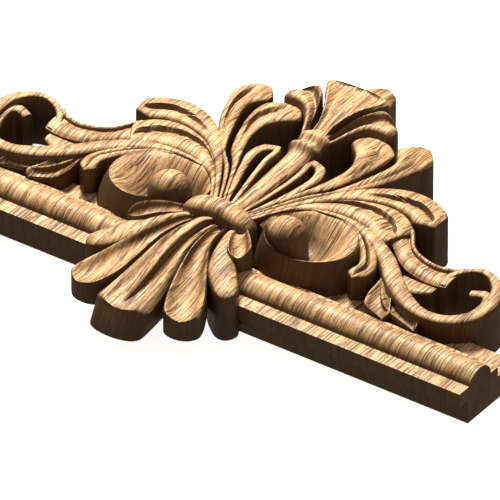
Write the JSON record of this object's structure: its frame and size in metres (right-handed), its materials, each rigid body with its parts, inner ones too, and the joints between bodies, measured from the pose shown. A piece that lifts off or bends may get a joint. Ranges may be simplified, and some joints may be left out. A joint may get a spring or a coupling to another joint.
{
  "type": "carved cartouche on frame moulding",
  "caption": "Carved foliate cartouche with scrolls and a palmette, planted on a straight run of rebated frame moulding.",
  "frame": {"origin": "middle of the moulding's flat back face, on the plane of symmetry", "axes": "+X along the moulding, +Y outwards from the framed opening towards the crest, +Z out of the wall, the front of the relief"},
  "size_m": [0.356, 0.2457, 0.0409],
  "materials": {
    "rail_wood": "satin varnish, grain running across the rail",
    "carved_wood": "satin varnish, open grain running up the ornament, dark in the cuts"
  },
  "bodies": {
    "root": {"frame_rail": "rail_wood", "carved_cartouche": "carved_wood"}
  },
  "joints": []
}
